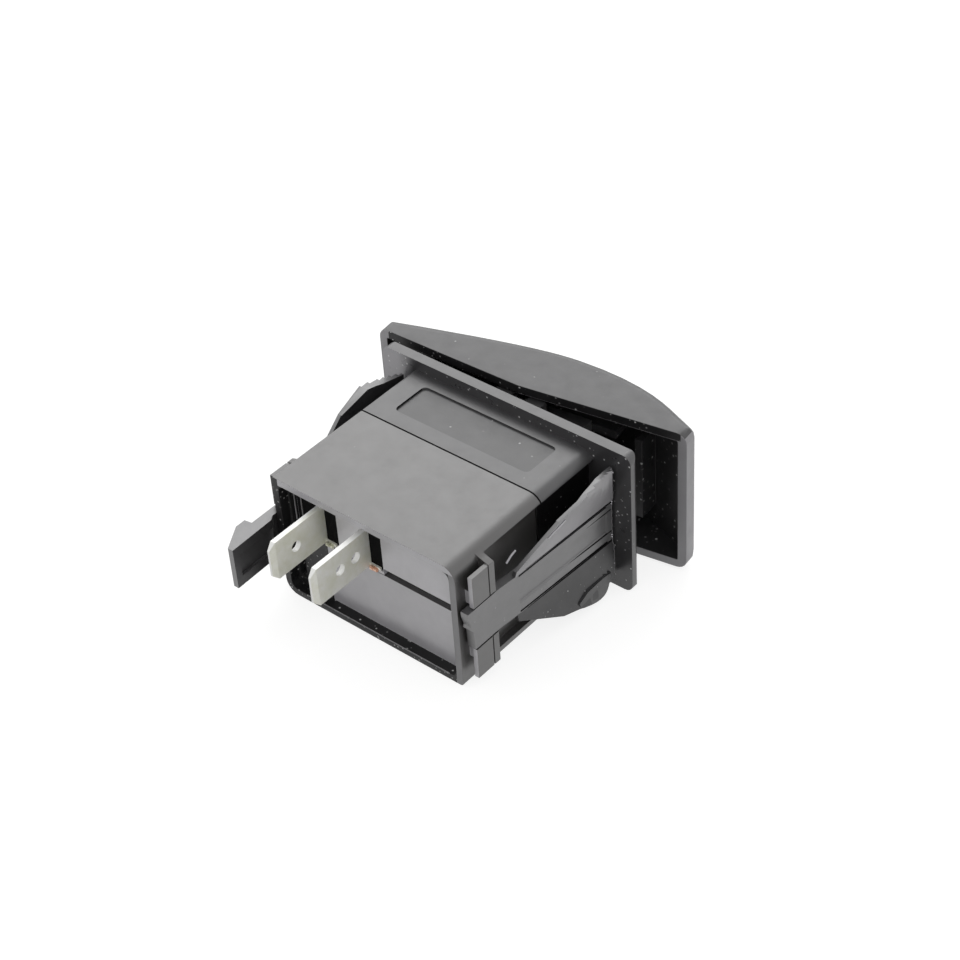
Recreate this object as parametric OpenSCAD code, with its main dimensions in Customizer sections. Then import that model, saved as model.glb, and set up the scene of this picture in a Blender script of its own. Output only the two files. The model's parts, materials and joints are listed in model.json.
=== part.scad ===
// Panel rocker switch, single pole, with two snap clips and two tab terminals.
// X runs along the long side of the bezel, Y runs from the rocker (-) to the
// terminals (+), Z is up. The origin is the centre of the face that seats on
// the panel, and every length is in millimetres.

/* [Housing] */
// Length of the housing behind the panel
body_len = 32.7; // [31:0.1:35]
// Height of the housing behind the panel
body_h = 20.8; // [20:0.1:22]
// Depth of the whole housing behind the panel
body_depth = 29.8; // [28:0.1:33]
// Depth of the front housing, up to the seam
front_depth = 11.4; // [10:0.1:13]
// Width of the seam line between the two housings
seam_gap = 0.25; // [0.1:0.05:0.4]
// Radius of the two wide corners of the housing, -X above and +X below
body_r = 2.2; // [1.5:0.1:2.6]
// Radius of its two other corners
body_edge_r = 0.5; // [0.3:0.1:1]
// Wall of the housing above and below
wall = 1.1; // [0.9:0.05:1.4]
// Half length of the space inside the front housing
cavity_half = 13.9; // [13.4:0.1:14]
// Depth of the recess in each end wall that a clip bends into
recess_depth = 1.2; // [0.8:0.1:1.3]
// Half height of that recess
recess_half = 9.2; // [9:0.1:9.4]

/* [Bezel] */
// Length of the bezel
bezel_len = 44.8; // [42:0.1:48]
// Height of the bezel and of the rocker
bezel_h = 24.4; // [23.6:0.1:26]
// Thickness of the bezel
bezel_t = 1.7; // [1.4:0.1:2.4]
// Radius that rounds the bezel's front at its two ends
bezel_nose = 1; // [0.4:0.1:1.2]
// Corner radius of the bezel
bezel_r = 1.4; // [0.6:0.1:3]
// Length of the shallow label panel on top of the front housing
label_len = 24.1; // [16:0.1:26]
// Width of the label panel
label_w = 6.6; // [5:0.1:7.4]
// Depth of the label panel
label_depth = 0.3; // [0.1:0.05:0.5]

/* [Rocker] */
// Length of the rocker cap
rocker_len = 51.6; // [48:0.1:54]
// Offset of the cap's middle towards -X
rocker_off = 0.4; // [0:0.1:1]
// Corner radius of the rocker cap
rocker_r = 1.6; // [1.5:0.1:3]
// Radius of the rounding along the front edges of the cap
crown_r = 2; // [1:0.1:2.2]
// Wall of the rocker cap
rocker_wall = 1.4; // [1:0.05:1.8]
// Height of the crown over the middle of the cap's rear rim
crest_h = 10.5; // [9.5:0.1:11.5]
// Distance of the crest from the pivot, towards -X
crest_x = 4.5; // [3:0.1:6]
// Height of the crown at the +X end of the cap
end_h = 5; // [4.5:0.1:5.5]
// Height of the crown at the -X end of the cap
high_end_h = 4.6; // [4.3:0.1:5.5]
// Angle at which each half of the rear rim rises from the middle
vee_angle = 4; // [3:0.1:4.5]
// Gap between the bezel and the middle of the level rim
rim_gap = 2.2; // [2:0.1:2.6]
// Tilt of the rocker to each side of level
tilt = 6; // [5:0.1:6.5]
// Depth of the pivot line in front of the panel seat
pivot_front = 1.6; // [1.4:0.1:1.8]
// Radius of the pivot pin
pivot_r = 1.5; // [1.2:0.05:1.6]

/* [Terminals] */
// Distance of the middle of the tabs above the centre line
row_z = 4.57; // [4.4:0.01:4.7]
// Offset of the centre terminal
centre_tab_x = 0.95; // [0.8:0.05:1.2]
// Distance from the centre terminal to the end terminal
tab_pitch = 8.1; // [7.6:0.1:8.4]
// Width of a tab
tab_w = 6.35; // [6.2:0.01:6.4]
// Thickness of a tab
tab_t = 0.8; // [0.7:0.05:0.85]
// Length of a tab behind the rear rim
tab_out = 8.3; // [7.5:0.1:10]
// Diameter of the hole in a tab
tab_hole_d = 1.7; // [1.4:0.1:2]
// Distance of that hole from the tip
tab_hole_back = 4.3; // [3.6:0.1:5]

/* [Clips] */
// Distance of the highest tooth from the panel seat
apex_y = 7.1; // [6.8:0.1:7.6]
// Distance of the highest tooth from the centre line
apex_x = 20.8; // [20.4:0.05:21.2]
// Pitch of the two coarse teeth
coarse_pitch = 1.65; // [1.5:0.05:1.7]
// Pitch of the three fine teeth
fine_pitch = 0.92; // [0.85:0.01:0.95]
// Depth of a tooth
tooth_depth = 0.5; // [0.3:0.05:0.55]
// Half height of the wings at the highest tooth
wing_half = 9.9; // [9.4:0.1:10.1]
// Angle at which the wings slant outwards from the strip
wing_slant = 15; // [12:0.5:18]
// Half height of the strip between the wings
strip_half = 3.45; // [3:0.05:3.8]
// Thickness of the strip
strip_t = 1.3; // [1.1:0.05:1.5]
// Length of the latch finger behind the rear rim
finger_out = 9; // [7:0.1:11]
// Depth of the channel in the finger's inner face
finger_channel = 0.5; // [0.2:0.05:0.6]

/* [Mechanism] */
// Height of the fulcrum line over the terminals' feet
fulcrum_h = 2.4; // [2.3:0.05:2.5]
// Tilt of the contact blade to each side of level
blade_tilt = 5; // [4:0.1:5.2]
// Thickness of the contact blade
blade_t = 0.8; // [0.6:0.05:0.9]
// Width of the contact blade
blade_w = 5; // [4:0.1:5.4]
// Distance of the moving contact from the fulcrum
contact_x = 10.6; // [10.4:0.1:10.8]
// Radius of the plunger
plunger_r = 1.92; // [1.7:0.01:1.95]
// Radius of the plunger's nose
nose_r = 1.2; // [1:0.05:1.4]
// Radial clearance of the plunger in its bore
plunger_gap = 0.08; // [0.05:0.01:0.1]
// Diameter of the spring wire
wire_d = 0.45; // [0.35:0.05:0.5]

/* [Hidden] */

$fn = 48;
curve_steps = 10;
corner_steps = 5;
cut = 1;

// colours
black_plastic = [0.13, 0.13, 0.14];
dark_plastic = [0.09, 0.09, 0.1];
grey_plastic = [0.3, 0.3, 0.31];
tin = [0.76, 0.75, 0.7];
copper = [0.78, 0.5, 0.36];
silver = [0.86, 0.86, 0.84];
steel = [0.62, 0.63, 0.65];
rubber = [0.06, 0.06, 0.06];

// running fits and small gaps
pin_gap = 0.05;
part_gap = 0.1;
free_gap = 0.3;
pivot_y = -pivot_front;
rocker_h = bezel_h;

// front housing
opening_x = 5;
saddle_half = 7.6;
saddle_gap = 0.35;
opening_z = saddle_half + saddle_gap;
ear_x = 4;
ear_over = 3.3;
ear_top = pivot_front + ear_over;
ear_gap = 0.4;
ear_z = rocker_h / 2 - rocker_wall - ear_gap;
ear_slot = 1.25;
stop_x = 9;
stop_len = 2;
stop_half = 3;
label_x = 0.45;
label_y = 5.5;
label_r = 0.8;

// rear base
tongue_t = 1;
tongue_len = 1.5;
groove_y = 0.7;
groove_w = 0.8;
groove_depth = 0.5;
plate_recess = 1.6;
floor_t = 3;
rim_wall = 1.1;
rim_r = 1.1;
base_cavity = cavity_half - tongue_t;
cavity_z = body_h / 2 - wall;
floor_out = body_depth - plate_recess;
floor_in = floor_out - floor_t;
end_channel = 1.4;
channel_depth = 2.4;

// insert that carries the terminals
plate_left = -13.9;
plate_right = 13.6;
plate_low = 0.8;
rabbet_h = 1.2;
rabbet_depth = 0.9;
rabbet_end = -1.9;
pocket_w = 2.4;
pocket_depth = 2.2;
lance_t = 0.45;
lance_len = 1.9;

// terminals
foot_t = 0.8;
foot_pad = 1;
pad_front = floor_in - foot_pad;
foot_front = pad_front - foot_t;
end_tab_x = centre_tab_x + tab_pitch;
tab_tip = body_depth + tab_out;
tip_chamfer = 1;
tip_t = 0.35;
foot_end = contact_x + 2.2;
second_hole_back = 7.3;
fulcrum_y = foot_front - fulcrum_h;

// contact blade and its support
fulcrum_r = 0.5;
blade_rear = fulcrum_y - fulcrum_r - part_gap;
blade_front = blade_rear - blade_t;
blade_left = -9.5;
blade_right = contact_x + 1.7;
cheek_t = 0.6;
cheek_half = 1.8;
cheek_len = 1.1;
button_r = 1.6;
button_t = 0.9;
shank_r = 0.8;
fixed_r = 1.8;
contact_reach = (contact_x + button_r) * sin(blade_tilt)
              + (blade_rear + button_t - fulcrum_y) * cos(blade_tilt);
fixed_front = fulcrum_y + contact_reach + part_gap;
fixed_t = foot_front - fixed_front;
bracket_left = -5;
bracket_t = 0.8;
bracket_w = 4.2;
rivet_x = -3.2;
rivet_r = 0.7;
rivet_head_r = 1.3;
rivet_head_t = 0.6;
bead_t = 0.4;
rest_x = -8.4;
rest_len = 2.4;
rest_reach = (-blade_left) * sin(blade_tilt) + (blade_rear - fulcrum_y) * cos(blade_tilt);

// rocker
rim_y = -bezel_t - rim_gap;
cap_right = rocker_len / 2 - rocker_off;
cap_left = rocker_len / 2 + rocker_off;
crown_nose = 0.8;
crown_steps = [0, 30, 60, 90];
long_run = 18;
long_rise = 4.35;
long_flat = 5.05;
short_run = 4.35;
short_rise = 1.2;
short_flat = 14;
saddle_x = 10;
saddle_front = -7.2;
saddle_t = 2.6;
hub_x = 3.2;
hub_rear = 1.2;
stem_half = 3.15;
stem_rear = fulcrum_y - 6.5;
bore_front = 2.5;
bore_r = plunger_r + plunger_gap;
rib_z = 6.4;
rib_t = 1.2;
rib_x = 14;
cross_rib_x = 17.6;
cross_rib_z = 7;
nose_gap = 0.05;
nose_tip = fulcrum_y - (fulcrum_r + part_gap + blade_t) - nose_gap;
plunger_back = fulcrum_y - 10.5;
plunger_end = fulcrum_y - 5.8;
spring_r = 1.45;
spring_turns = 6;
spring_sides = 6;
spring_steps = 12;

// clips
clip_x = 16.75;
clip_pivot_x = 17.3;
clip_pivot_y = body_depth - 3;
clip_pin_r = 0.45;
clip_pin_len = 1.5;
knee_y = 12.5;
wing_root_y = 20.2;
clip_front = 0.4;
strip_front_x = 17.95;
strip_bend_x = 17.1;
strip_bend_y = 19.4;
strip_root_y = 23.6;
slot_w = 0.35;
slot_floor = 0.7;
slot_edge = 0.1;
slot_len = 19.2;
trough_floor = 1.5;
trough_edge = 1.75;
trough_depth = 0.25;
wing_step = 0.95;
knee_z = 8.5;
crest_y = 4.2;
weld = 0.05;
stub_back = 0.2;
finger_lean = 0.7;
finger_tip = 0.9;
knee_drop = 0.9;
leaf_t = 0.55;
wing_t = 0.6;
right_wing = [0, 0.044, 9.3, 8.9, 1.65];
left_wing = [0.13, 0, 10.2, 9.6, 0.9];
keeper_out = 18.1;
keeper_t = 0.75;
keeper_y0 = body_depth - 5.9;
keeper_web = 1.1;
keeper_y1 = body_depth - 1.35;
keeper_top = 8.9;
keeper_gap = 0.25;
pivot_wall = 0.7;
pivot_top = strip_half + clip_pin_len + free_gap;
mark_w = 0.2;
mark_depth = 0.2;
channel_half = 1.9;
channel_end = 1.1;
barb_h = 1.2;
barb_y = 3.4;
barb_len = 1.7;

// ---------------------------------------------------------------- helpers

// points on an arc, from angle a0 to a1
function arc(cx, cy, r, a0, a1, n = corner_steps) =
    [for (i = [0:n]) let (a = a0 + (a1 - a0) * i / n) [cx + r * cos(a), cy + r * sin(a)]];

// outline of a rounded rectangle, with radius q at the +X +Z and the -X -Z corner
function rounded_pair(w, h, r, q) = concat(
    arc(w / 2 - q, h / 2 - q, q, 0, 90),
    arc(r - w / 2, h / 2 - r, r, 90, 180),
    arc(q - w / 2, q - h / 2, q, 180, 270),
    arc(w / 2 - r, r - h / 2, r, 270, 360));

// outline of a rounded rectangle
function rounded(w, h, r) = rounded_pair(w, h, r, r);

// one point of a cubic curve
function cubic(p, t) = pow(1 - t, 3) * p[0] + 3 * t * pow(1 - t, 2) * p[1]
                     + 3 * t * t * (1 - t) * p[2] + pow(t, 3) * p[3];

// a flat outline in X and Z, extruded along Y
module along_y(y0, y1) rotate([90, 0, 0]) translate([0, 0, -y1]) linear_extrude(y1 - y0) children();

// a flat outline in Y and Z, extruded along X
module along_x(x0, x1) rotate([90, 0, 90]) translate([0, 0, x0]) linear_extrude(x1 - x0) children();

// a flat outline in X and Y, extruded along Z
module along_z(z0, z1) translate([0, 0, z0]) linear_extrude(z1 - z0) children();

// a block between two corners
module block(a, b) translate(a) cube(b - a);

// a cylinder along Y
module rod_y(x, z, r, y0, y1) translate([x, y1, z]) rotate([90, 0, 0]) cylinder(r = r, h = y1 - y0);

// places what belongs to the rocker at its rest tilt
module rocker_pose() translate([0, pivot_y, 0]) rotate([0, 0, tilt]) translate([0, -pivot_y, 0]) children();

// places what belongs to the contact blade at its rest tilt
module blade_pose() translate([0, fulcrum_y, 0]) rotate([0, 0, -blade_tilt])
    translate([0, -fulcrum_y, 0]) children();

// ---------------------------------------------------------------- housing

// the recess in both end walls for the clips
module clip_recess(y0, y1) for (s = [0, 1]) mirror([s, 0, 0])
    block([body_len / 2 - recess_depth, y0, -recess_half], [body_len / 2 + cut, y1, recess_half]);

// one ear that carries the pivot pin
module pivot_ear() block([-ear_x, -ear_top, opening_z], [ear_x, -bezel_t / 2, ear_z]);

// the bezel, with the front of its two ends rounded
module bezel_plate() intersection() {
    along_y(-bezel_t, 0) polygon(rounded(bezel_len, bezel_h, bezel_r));
    along_z(-bezel_h, bezel_h) polygon(concat(
        [[bezel_len / 2, cut], [-bezel_len / 2, cut]],
        arc(bezel_nose - bezel_len / 2, bezel_nose - bezel_t, bezel_nose, 180, 270),
        arc(bezel_len / 2 - bezel_nose, bezel_nose - bezel_t, bezel_nose, 270, 360)));
}

// bezel and front housing, one moulding
module bezel_frame() color(black_plastic) difference() {
    union() {
        bezel_plate();
        along_y(-cut, front_depth) polygon(rounded_pair(body_len, body_h, body_r, body_edge_r));
        for (s = [0, 1]) mirror([0, 0, s]) pivot_ear();
        for (s = [-1, 1]) block([s * stop_x - stop_len / 2, stop_top(), -stop_half],
                                [s * stop_x + stop_len / 2, -bezel_t / 2, stop_half]);
    }
    along_y(wall, front_depth + cut) polygon(rounded(2 * cavity_half, 2 * cavity_z, rim_r));
    block([-opening_x, -bezel_t - cut, -opening_z], [opening_x, wall + cut, opening_z]);
    for (s = [0, 1]) mirror([0, 0, s]) {
        translate([0, pivot_y, 0]) cylinder(r = pivot_r + pin_gap, h = ear_z);
        block([-ear_slot, -ear_top - cut, 0], [ear_slot, pivot_y, ear_z + cut]);
    }
    clip_recess(0, front_depth + cut);
    translate([label_x, label_y, 0]) along_z(body_h / 2 - label_depth, body_h / 2 + cut)
        polygon(rounded(label_len, label_w, label_r));
}

// front of the pads that stop the rocker, free_gap off the tilted saddle
function stop_top() = pivot_y + free_gap + (stop_x + stop_len / 2) * sin(tilt)
                    + (saddle_front + saddle_t - pivot_y) * cos(tilt);

// outline of a keeper's web, in X and Z, from the clip's strip up to the housing's top
function web_outline() = let (root = body_len / 2 - wall, low = strip_half + keeper_gap)
    [[root, low], [keeper_out, low], [keeper_out, keeper_top], [root, body_h / 2 - body_edge_r]];

// the two halves of one keeper, which the clip's strip passes between: a web, and a plate that
// stands off the housing and holds the clip's pivot
module clip_keeper() for (s = [0, 1]) mirror([0, 0, s]) difference() {
    union() {
        along_y(keeper_y0, keeper_y0 + keeper_web) polygon(web_outline());
        block([keeper_out - keeper_t, keeper_y0, strip_half + keeper_gap],
              [keeper_out, keeper_y1, keeper_top]);
        block([body_len / 2 - wall, keeper_y0, strip_half + keeper_gap],
              [keeper_out, clip_pivot_y + clip_pin_r + pin_gap + pivot_wall, pivot_top + pivot_wall]);
    }
    translate([clip_pivot_x, clip_pivot_y, 0]) cylinder(r = clip_pin_r + pin_gap, h = pivot_top);
    block([keeper_out - mark_depth, keeper_y0 + keeper_web, strip_half],
          [keeper_out + cut, keeper_y0 + keeper_web + mark_w, body_h / 2]);
}

// rear housing with the shroud round the terminals
module rear_base() color(black_plastic) difference() {
    union() {
        difference() {
            union() {
                along_y(front_depth + seam_gap, body_depth)
                    polygon(rounded_pair(body_len, body_h, body_r, body_edge_r));
                along_y(front_depth - tongue_len, front_depth + cut)
                    polygon(rounded(2 * (cavity_half - part_gap), 2 * (cavity_z - part_gap), rim_r));
            }
            clip_recess(front_depth - cut, keeper_y0 - free_gap);
        }
        for (s = [0, 1]) mirror([s, 0, 0]) clip_keeper();
    }
    along_y(front_depth - tongue_len - cut, floor_in)
        polygon(rounded(2 * base_cavity, 2 * (cavity_z - tongue_t), rim_r));
    along_y(floor_out, body_depth + cut)
        polygon(rounded(body_len - 2 * rim_wall, body_h - 2 * rim_wall, rim_r));
    block([plate_left, floor_in, plate_low], [plate_right, floor_out + cut, cavity_z]);
    block([plate_right, floor_out - channel_depth, -cavity_z + rim_r],
          [plate_right + end_channel, floor_out + cut, cavity_z - rim_r]);
    gasket_groove();
}

// groove for the gasket round the tongue
module gasket_groove() difference() {
    along_y(front_depth - groove_y - groove_w, front_depth - groove_y)
        polygon(rounded(2 * (cavity_half + cut), 2 * (cavity_z + cut), rim_r));
    gasket_inside(front_depth - tongue_len - cut, front_depth + cut);
}

// space inside the gasket
module gasket_inside(y0, y1) along_y(y0, y1)
    polygon(rounded(2 * (cavity_half - groove_depth), 2 * (cavity_z - groove_depth), rim_r));

// rubber ring between the two housings
module base_gasket() color(rubber) difference() {
    along_y(front_depth - groove_y - groove_w, front_depth - groove_y)
        polygon(rounded(2 * cavity_half, 2 * cavity_z, rim_r));
    gasket_inside(front_depth - tongue_len - cut, front_depth + cut);
}

// ---------------------------------------------------------------- terminals

// insert that holds both terminals in the rear base
module terminal_plate() color(grey_plastic) difference() {
    union() {
        block([plate_left + part_gap, floor_in, plate_low + part_gap],
              [plate_right - part_gap, floor_out, cavity_z - part_gap]);
        block([end_tab_x - tab_t, pad_front, row_z - tab_w / 2],
              [foot_end, floor_in + cut, row_z + tab_w / 2]);
        block([bracket_left, pad_front, row_z - tab_w / 2],
              [centre_tab_x + tab_t, floor_in + cut, row_z + tab_w / 2]);
        block([rest_x - rest_len / 2, fulcrum_y + rest_reach + free_gap, row_z - blade_w / 2],
              [rest_x + rest_len / 2, floor_in + cut, row_z + blade_w / 2]);
    }
    for (x = [centre_tab_x, end_tab_x]) {
        block([x - tab_t / 2, pad_front - cut, row_z - tab_w / 2],
              [x + tab_t / 2, floor_out + cut, row_z + tab_w / 2]);
        block([x - tab_t / 2 - pocket_w, floor_out - pocket_depth, row_z - tab_w / 2],
              [x - tab_t / 2, floor_out + cut, row_z + tab_w / 2]);
    }
    block([plate_left - cut, floor_out - rabbet_depth, plate_low - cut],
          [rabbet_end, floor_out + cut, plate_low + rabbet_h]);
    rod_y(rivet_x, row_z, rivet_r + rivet_head_t, pad_front - cut, pad_front + rivet_head_t);
    rod_y(contact_x, row_z, shank_r + bead_t, pad_front - cut, pad_front + rivet_head_t);
}

// outline of a tab, in Y and Z, from its foot to its tip
function tab_outline() = [
    [foot_front, row_z - tab_w / 2],
    [tab_tip - tip_chamfer, row_z - tab_w / 2],
    [tab_tip, row_z - tab_w / 2 + tip_chamfer],
    [tab_tip, row_z + tab_w / 2 - tip_chamfer],
    [tab_tip - tip_chamfer, row_z + tab_w / 2],
    [foot_front, row_z + tab_w / 2]];

// section of a tab, in X and Y, with its bevelled tip
function tab_section() = [
    [-tab_t / 2, foot_front],
    [tab_t / 2, foot_front],
    [tab_t / 2, tab_tip - tip_chamfer],
    [tip_t / 2, tab_tip],
    [-tip_t / 2, tab_tip],
    [-tab_t / 2, tab_tip - tip_chamfer]];

// one tab with its hole and the small lance that locks it in the plate
module tab(x) {
    translate([x, 0, 0]) intersection() {
        along_x(-tab_t, tab_t) polygon(tab_outline());
        along_z(0, body_h) polygon(tab_section());
    }
    block([x - tab_t / 2 - lance_len, floor_out - pocket_depth, row_z - tab_w / 2],
          [x, floor_out + part_gap, row_z - tab_w / 2 + lance_t]);
}

// a hole through a tab
module tab_hole(x, back) translate([x - cut, tab_tip - back, row_z]) rotate([0, 90, 0])
    cylinder(d = tab_hole_d, h = 2 * cut);

// common terminal, which carries the fulcrum bracket
module centre_terminal() color(tin) difference() {
    union() {
        tab(centre_tab_x);
        block([bracket_left, foot_front, row_z - tab_w / 2],
              [centre_tab_x, foot_front + foot_t, row_z + tab_w / 2]);
    }
    tab_hole(centre_tab_x, tab_hole_back);
    tab_hole(centre_tab_x, second_hole_back);
    rod_y(rivet_x, row_z, rivet_r, foot_front - cut, foot_front + foot_t + cut);
}

// terminal that carries the fixed contact
module end_terminal() color(tin) difference() {
    union() {
        tab(end_tab_x);
        block([end_tab_x, foot_front, row_z - tab_w / 2],
              [foot_end, foot_front + foot_t, row_z + tab_w / 2]);
    }
    tab_hole(end_tab_x, tab_hole_back);
    rod_y(contact_x, row_z, shank_r, foot_front - cut, foot_front + foot_t + cut);
}

// contact rivet in the end terminal
module fixed_contact() color(silver) {
    rod_y(contact_x, row_z, fixed_r, foot_front - fixed_t, foot_front);
    rod_y(contact_x, row_z, shank_r, foot_front - fixed_t, foot_front + foot_t + bead_t);
}

// bracket with the rounded edge that the blade rocks on
module fulcrum_bracket() color(copper) difference() {
    union() {
        block([bracket_left, foot_front - bracket_t, row_z - bracket_w / 2],
              [fulcrum_r, foot_front, row_z + bracket_w / 2]);
        block([-fulcrum_r, fulcrum_y, row_z - bracket_w / 2],
              [fulcrum_r, foot_front, row_z + bracket_w / 2]);
        translate([0, fulcrum_y, row_z - bracket_w / 2]) cylinder(r = fulcrum_r, h = bracket_w);
    }
    rod_y(rivet_x, row_z, rivet_r, foot_front - bracket_t - cut, foot_front + cut);
}

// rivet that joins the bracket to the centre terminal
module fulcrum_rivet() color(copper) {
    rod_y(rivet_x, row_z, rivet_head_r, foot_front - bracket_t - rivet_head_t, foot_front - bracket_t);
    rod_y(rivet_x, row_z, rivet_r, foot_front - bracket_t - rivet_head_t, foot_front + foot_t + bead_t);
}

// ---------------------------------------------------------------- contact blade

// copper strip that rocks on the fulcrum, with two cheeks that keep it there
module contact_blade() blade_pose() color(copper) difference() {
    union() {
        block([blade_left, blade_front, row_z - blade_w / 2],
              [blade_right, blade_rear, row_z + blade_w / 2]);
        for (s = [0, 1]) translate([0, 0, row_z]) mirror([0, 0, s])
            block([-cheek_half, blade_front, bracket_w / 2 + part_gap],
                  [cheek_half, blade_rear + cheek_len, bracket_w / 2 + part_gap + cheek_t]);
    }
    rod_y(contact_x, row_z, shank_r, blade_front - cut, blade_rear + cut);
}

// contact rivet in the blade
module moving_contact() blade_pose() color(silver) {
    rod_y(contact_x, row_z, button_r, blade_rear, blade_rear + button_t);
    rod_y(contact_x, row_z, shank_r, blade_front - bead_t, blade_rear + button_t);
}

// ---------------------------------------------------------------- rocker

// crown of the cap, lowered by inset, from the +X end over the crest to the -X end
function crown(inset) = let (
        low = rim_y - end_h + inset,
        left_low = rim_y - high_end_h + inset,
        top = rim_y - crest_h + inset,
        n = crown_nose,
        long_side = [[cap_right, low], [cap_right - long_run, low - long_rise], [long_flat - crest_x, top],
                     [-crest_x, top]],
        short_side = [[-crest_x, top], [-crest_x - short_flat, top],
                      [short_run - cap_left, left_low - short_rise], [-cap_left, left_low]])
    concat([[cap_right, low + n], [cap_right - 0.3 * n, low + 0.3 * n], [cap_right - n, low - 0.2 * n]],
           [for (i = [1:curve_steps]) cubic(long_side, i / curve_steps)],
           [for (i = [1:curve_steps - 1]) cubic(short_side, i / curve_steps)],
           [[n - cap_left, left_low - 0.25 * n], [0.3 * n - cap_left, left_low + 0.3 * n],
            [-cap_left, left_low + n]]);

// side outline of the cap, with the shallow vee of its rear rim
function cap_side(inset) = concat(crown(inset),
    [[-cap_left, rim_y - cap_left * tan(vee_angle)], [0, rim_y],
     [cap_right, rim_y - cap_right * tan(vee_angle)]]);

// side outline of the space in the cap
function cap_space(inset) = concat(crown(inset), [[-cap_left, 0], [cap_right, 0]]);

// outline of the cap seen from the front, smaller by inset all round
module cap_front(inset) translate([-rocker_off, 0]) polygon(rounded(rocker_len - 2 * inset,
    rocker_h - 2 * inset, rocker_r - inset));

// hollow rocker cap with the ribs that hold the carrier
module rocker_cap() rocker_pose() color(black_plastic) {
    difference() {
        intersection() {
            hull() for (a = crown_steps) let (half = rocker_h / 2 - crown_r * (1 - sin(a)))
                along_z(-half, half) polygon(cap_side(crown_r * (1 - cos(a))));
            along_y(rim_y - crest_h - cut, cut) cap_front(0);
        }
        intersection() {
            along_z(-rocker_h / 2, rocker_h / 2) polygon(cap_space(rocker_wall));
            along_y(rim_y - crest_h - cut, cut) cap_front(rocker_wall);
        }
    }
    intersection() {
        along_z(-rocker_h / 2, rocker_h / 2) polygon(cap_space(rocker_wall / 2));
        union() {
            for (s = [-1, 1]) block([-rib_x, -rocker_h, s * rib_z - rib_t / 2],
                                    [rib_x, saddle_front, s * rib_z + rib_t / 2]);
            for (s = [-1, 1]) block([s * cross_rib_x - rib_t / 2, -rocker_h, -cross_rib_z],
                                    [s * cross_rib_x + rib_t / 2, saddle_front, cross_rib_z]);
        }
    }
}

// carrier under the cap: saddle, pivot hub and the stem that houses the plunger
module rocker_carrier() rocker_pose() color(dark_plastic) difference() {
    union() {
        block([-saddle_x, saddle_front, -saddle_half], [saddle_x, saddle_front + saddle_t, saddle_half]);
        block([-hub_x, saddle_front, -saddle_half], [hub_x, hub_rear, saddle_half]);
        block([-stem_half, hub_rear - cut, row_z - stem_half], [stem_half, stem_rear, row_z + stem_half]);
    }
    translate([0, pivot_y, -saddle_half - cut]) cylinder(r = pivot_r, h = 2 * (saddle_half + cut));
    rod_y(0, row_z, bore_r, bore_front, stem_rear + cut);
}

// steel pin through the carrier, turning in the two ears
module pivot_pin() color(steel) translate([0, pivot_y, -ear_z + part_gap])
    cylinder(r = pivot_r, h = 2 * (ear_z - part_gap));

// sprung plunger that pushes the blade over its fulcrum
module contact_plunger() rocker_pose() color(grey_plastic) {
    rod_y(0, row_z, plunger_r, plunger_back, plunger_end);
    rod_y(0, row_z, nose_r, plunger_end, nose_tip - nose_r);
    translate([0, nose_tip - nose_r, row_z]) sphere(r = nose_r);
}

// one ring of points round the spring wire
function spring_ring(i) = let (
        n = spring_turns * spring_steps,
        a = 360 * i / spring_steps,
        length = plunger_back - bore_front - wire_d,
        y = bore_front + wire_d / 2 + length * i / n)
    [for (j = [0:spring_sides - 1]) let (b = 360 * j / spring_sides, r = spring_r + wire_d / 2 * cos(b))
        [r * cos(a), y + wire_d / 2 * sin(b), row_z + r * sin(a)]];

// compression spring between the carrier and the plunger
module plunger_spring() rocker_pose() color(steel) let (
        n = spring_turns * spring_steps,
        points = [for (i = [0:n]) each spring_ring(i)],
        first = [for (j = [0:spring_sides - 1]) j],
        last = [for (j = [spring_sides - 1:-1:0]) n * spring_sides + j],
        sides = [for (i = [0:n - 1]) for (j = [0:spring_sides - 1]) let (k = (j + 1) % spring_sides)
            [i * spring_sides + j, (i + 1) * spring_sides + j, (i + 1) * spring_sides + k,
             i * spring_sides + k]])
    polyhedron(points, concat([first], sides, [last]), convexity = 8);

// ---------------------------------------------------------------- clips

// each wing is set by the fall and the bow of its row of teeth, its half height at crest_y and at
// the front end, and the thickness behind the teeth

// distance of the teeth's tips from the centre line, u in front of the highest one
function tip_x(w, u) = apex_x - w[0] * u - w[1] * u * u;

// how far each tooth lies from the highest one
function tooth_at(i) = i <= 2 ? i * coarse_pitch : 2 * coarse_pitch + (i - 2) * fine_pitch;

// outer side outline of a wing, in X and Y, with the teeth
function wing_outside(w) = concat(
    [[0, wing_root_y], [apex_x, wing_root_y]],
    [for (i = [0:5]) each [[tip_x(w, tooth_at(i)), apex_y - tooth_at(i)],
                           [tip_x(w, tooth_at(i)) - tooth_depth, apex_y - tooth_at(i)]]],
    [[tip_x(w, tooth_at(5)) - tooth_depth, clip_front], [0, clip_front]]);

// inner side outline of a wing: a thin leaf up to the knee, then a thick block of teeth
function wing_inside(w) = [
    [0, wing_root_y + cut], [apex_x, wing_root_y + cut], [apex_x, knee_y],
    [apex_x - knee_drop - leaf_t, knee_y], [apex_x - w[4], apex_y + 1.5],
    [tip_x(w, coarse_pitch) - w[4], apex_y - coarse_pitch],
    [tip_x(w, tooth_at(5)) - tooth_depth - leaf_t, 0], [0, 0]];

// plan of the upper wing, in Y and Z
function wing_plan(w) = [
    [wing_root_y, strip_half - cut], [wing_root_y, strip_half + wing_step], [knee_y, knee_z],
    [apex_y, wing_half], [crest_y, w[2]], [clip_front, w[3]], [clip_front, strip_half - cut]];

// moves to the front end of the strip's outer face and turns Y along the strip
module strip_frame() translate([strip_front_x + strip_t, clip_front, 0])
    rotate([0, 0, atan((strip_front_x - strip_bend_x) / (strip_bend_y - clip_front))]) children();

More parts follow.
